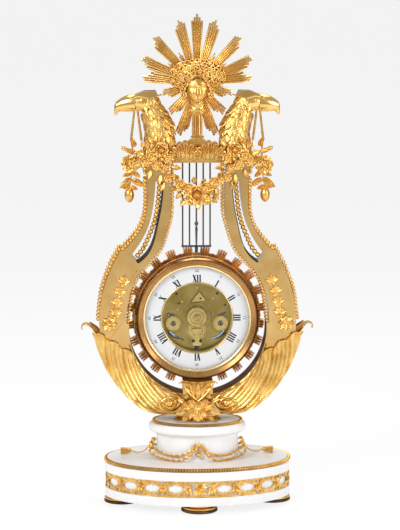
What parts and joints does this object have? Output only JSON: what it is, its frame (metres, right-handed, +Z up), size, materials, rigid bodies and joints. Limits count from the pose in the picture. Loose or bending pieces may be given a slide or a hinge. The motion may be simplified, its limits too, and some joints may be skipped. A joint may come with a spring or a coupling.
{
  "type": "mantel clock",
  "caption": "Free-standing lyre-shaped mantel clock with an oval marble base, enamel ring dial and a gridiron pendulum that carries a rayed ring round the dial.",
  "frame": {"origin": "on the supporting surface under the middle of the oval base", "axes": "+Z up, +X to the right of someone facing the dial, +Y from the dial towards the back"},
  "size_m": [0.292, 0.16, 0.62],
  "materials": {
    "marble": "white statuary marble, polished, faint grey veins",
    "gilt_bronze": "mercury-gilt bronze, matt ground with burnished edges",
    "gilt_bronze_polished": "burnished gilt bronze",
    "dark_bronze": "dark brown burnished bronze",
    "movement_brass": "grained clockmaker's brass",
    "steel": "dark polished steel",
    "blued_steel": "blued steel",
    "enamel": "fired white enamel on copper with black figures",
    "glass": "thin clear glass",
    "iron": "blackened iron"
  },
  "bodies": {
    "frame": {"feet": "gilt_bronze", "base_slab": "marble", "base_frieze": "gilt_bronze", "rope_bands": "gilt_bronze", "pedestal": "marble", "pedestal_chain": "gilt_bronze", "chain_tassels": "gilt_bronze", "tie_rod": "iron", "tie_nut": "iron", "lyre_plinth": "gilt_bronze", "lyre_arm_right": "gilt_bronze", "lyre_arm_left": "gilt_bronze", "bead_mouldings": "gilt_bronze", "slot_bead_strings": "gilt_bronze", "slot_liners": "dark_bronze", "acanthus_right": "gilt_bronze", "acanthus_left": "gilt_bronze", "arm_appliques": "gilt_bronze", "bottom_bouquet": "gilt_bronze", "dial_bracket": "gilt_bronze", "top_bar": "gilt_bronze", "top_crest": "gilt_bronze", "sun_stalk": "gilt_bronze", "sun_rays": "gilt_bronze", "sun_mask": "gilt_bronze", "eagle_head_right": "gilt_bronze", "eagle_head_left": "gilt_bronze", "garland_right": "gilt_bronze", "garland_left": "gilt_bronze", "string_swag": "gilt_bronze", "suspension_cock": "movement_brass", "movement_drum": "movement_brass", "bezel_hinge_pin": "steel", "dial_ring": "enamel", "front_plate": "movement_brass", "back_plate": "movement_brass", "front_cocks": "movement_brass", "bell": "gilt_bronze_polished", "bell_post": "steel"},
    "pendulum": {"gridiron_bars": "blued_steel", "gridiron_rods": "steel", "pendulum_pointer": "gilt_bronze_polished", "ray_ring": "gilt_bronze"},
    "bezel_door": {"bezel": "gilt_bronze_polished", "bezel_glass": "glass"},
    "crutch": {"pallets_and_crutch": "steel"},
    "escape_arbor": {"escape_wheel": "movement_brass"},
    "third_arbor": {"third_wheel": "movement_brass"},
    "centre_arbor": {"centre_wheel": "movement_brass"},
    "intermediate_arbor": {"intermediate_wheel": "movement_brass"},
    "going_barrel": {"going_barrel": "movement_brass"},
    "strike_barrel": {"strike_barrel": "movement_brass"},
    "cannon": {"cannon_pinion": "movement_brass"},
    "minute_arbor": {"minute_wheel": "movement_brass"},
    "hour_pipe": {"hour_wheel": "movement_brass"},
    "winding_right": {"winding_arbor_right": "steel"},
    "winding_left": {"winding_arbor_left": "steel"},
    "click_right": {"click_right": "blued_steel"},
    "click_left": {"click_left": "blued_steel"},
    "hammer": {"hammer": "steel"}
  },
  "joints": [
    {"name": "pendulum_swing", "type": "hinge", "parent": "frame", "child": "pendulum", "pos_m": [0, 0.024, 0.45], "axis": [0, 1, 0], "range_deg": [-2, 2]},
    {"name": "crutch_swing", "type": "hinge", "parent": "frame", "child": "crutch", "pos_m": [0, 0.0336, 0.2705], "axis": [0, 1, 0], "range_deg": [-5.3, 5.3]},
    {"name": "escape_spin", "type": "hinge", "parent": "frame", "child": "escape_arbor", "pos_m": [0, 0.0336, 0.257], "axis": [0, 1, 0], "continuous": true},
    {"name": "third_spin", "type": "hinge", "parent": "frame", "child": "third_arbor", "pos_m": [-0.00647, 0.0288, 0.24726], "axis": [0, 1, 0], "continuous": true},
    {"name": "centre_spin", "type": "hinge", "parent": "frame", "child": "centre_arbor", "pos_m": [0, 0.0385, 0.235], "axis": [0, 1, 0], "continuous": true},
    {"name": "intermediate_spin", "type": "hinge", "parent": "frame", "child": "intermediate_arbor", "pos_m": [0.00773, 0.018, 0.22375], "axis": [0, 1, 0], "continuous": true},
    {"name": "going_barrel_spin", "type": "hinge", "parent": "frame", "child": "going_barrel", "pos_m": [0.03, 0.027, 0.227], "axis": [0, 1, 0], "continuous": true},
    {"name": "strike_barrel_spin", "type": "hinge", "parent": "frame", "child": "strike_barrel", "pos_m": [-0.03, 0.027, 0.227], "axis": [0, 1, 0], "continuous": true},
    {"name": "cannon_spin", "type": "hinge", "parent": "frame", "child": "cannon", "pos_m": [0, 0.0117, 0.235], "axis": [0, 1, 0], "continuous": true},
    {"name": "minute_spin", "type": "hinge", "parent": "frame", "child": "minute_arbor", "pos_m": [0, 0.0117, 0.2182], "axis": [0, 1, 0], "continuous": true},
    {"name": "hour_spin", "type": "hinge", "parent": "frame", "child": "hour_pipe", "pos_m": [0, 0.0092, 0.235], "axis": [0, 1, 0], "continuous": true},
    {"name": "winding_right_spin", "type": "hinge", "parent": "frame", "child": "winding_right", "pos_m": [0.03, 0.0115, 0.227], "axis": [0, 1, 0], "continuous": true},
    {"name": "winding_left_spin", "type": "hinge", "parent": "frame", "child": "winding_left", "pos_m": [-0.03, 0.0115, 0.227], "axis": [0, 1, 0], "continuous": true},
    {"name": "click_right_lift", "type": "hinge", "parent": "frame", "child": "click_right", "pos_m": [0.0362, 0.0114, 0.23866], "axis": [0, 1, 0], "range_deg": [0, 10], "stiffness_Nm_per_rad": 0.002, "springref_deg": -17.19},
    {"name": "click_left_lift", "type": "hinge", "parent": "frame", "child": "click_left", "pos_m": [-0.0362, 0.0114, 0.23866], "axis": [0, -1, 0], "range_deg": [0, 10], "stiffness_Nm_per_rad": 0.002, "springref_deg": -17.19},
    {"name": "hammer_lift", "type": "hinge", "parent": "frame", "child": "hammer", "pos_m": [-0.03, 0.0497, 0.262], "axis": [0, 1, 0], "range_deg": [0, 18], "stiffness_Nm_per_rad": 0.01, "springref_deg": -17.19},
    {"name": "bezel_hinge", "type": "hinge", "parent": "frame", "child": "bezel_door", "pos_m": [-0.0798, 0.0015, 0.235], "axis": [0, 0, -1], "range_deg": [0, 60]}
  ],
  "couplings": [
    {"joint": "crutch_swing", "follows": "pendulum_swing", "ratio": 2.6244},
    {"joint": "third_spin", "follows": "escape_spin", "ratio": -0.18182},
    {"joint": "centre_spin", "follows": "escape_spin", "ratio": 0.030303},
    {"joint": "intermediate_spin", "follows": "escape_spin", "ratio": -0.0055096},
    {"joint": "going_barrel_spin", "follows": "escape_spin", "ratio": 0.00084764},
    {"joint": "minute_spin", "follows": "cannon_spin", "ratio": -0.33333},
    {"joint": "hour_spin", "follows": "cannon_spin", "ratio": 0.083333}
  ]
}
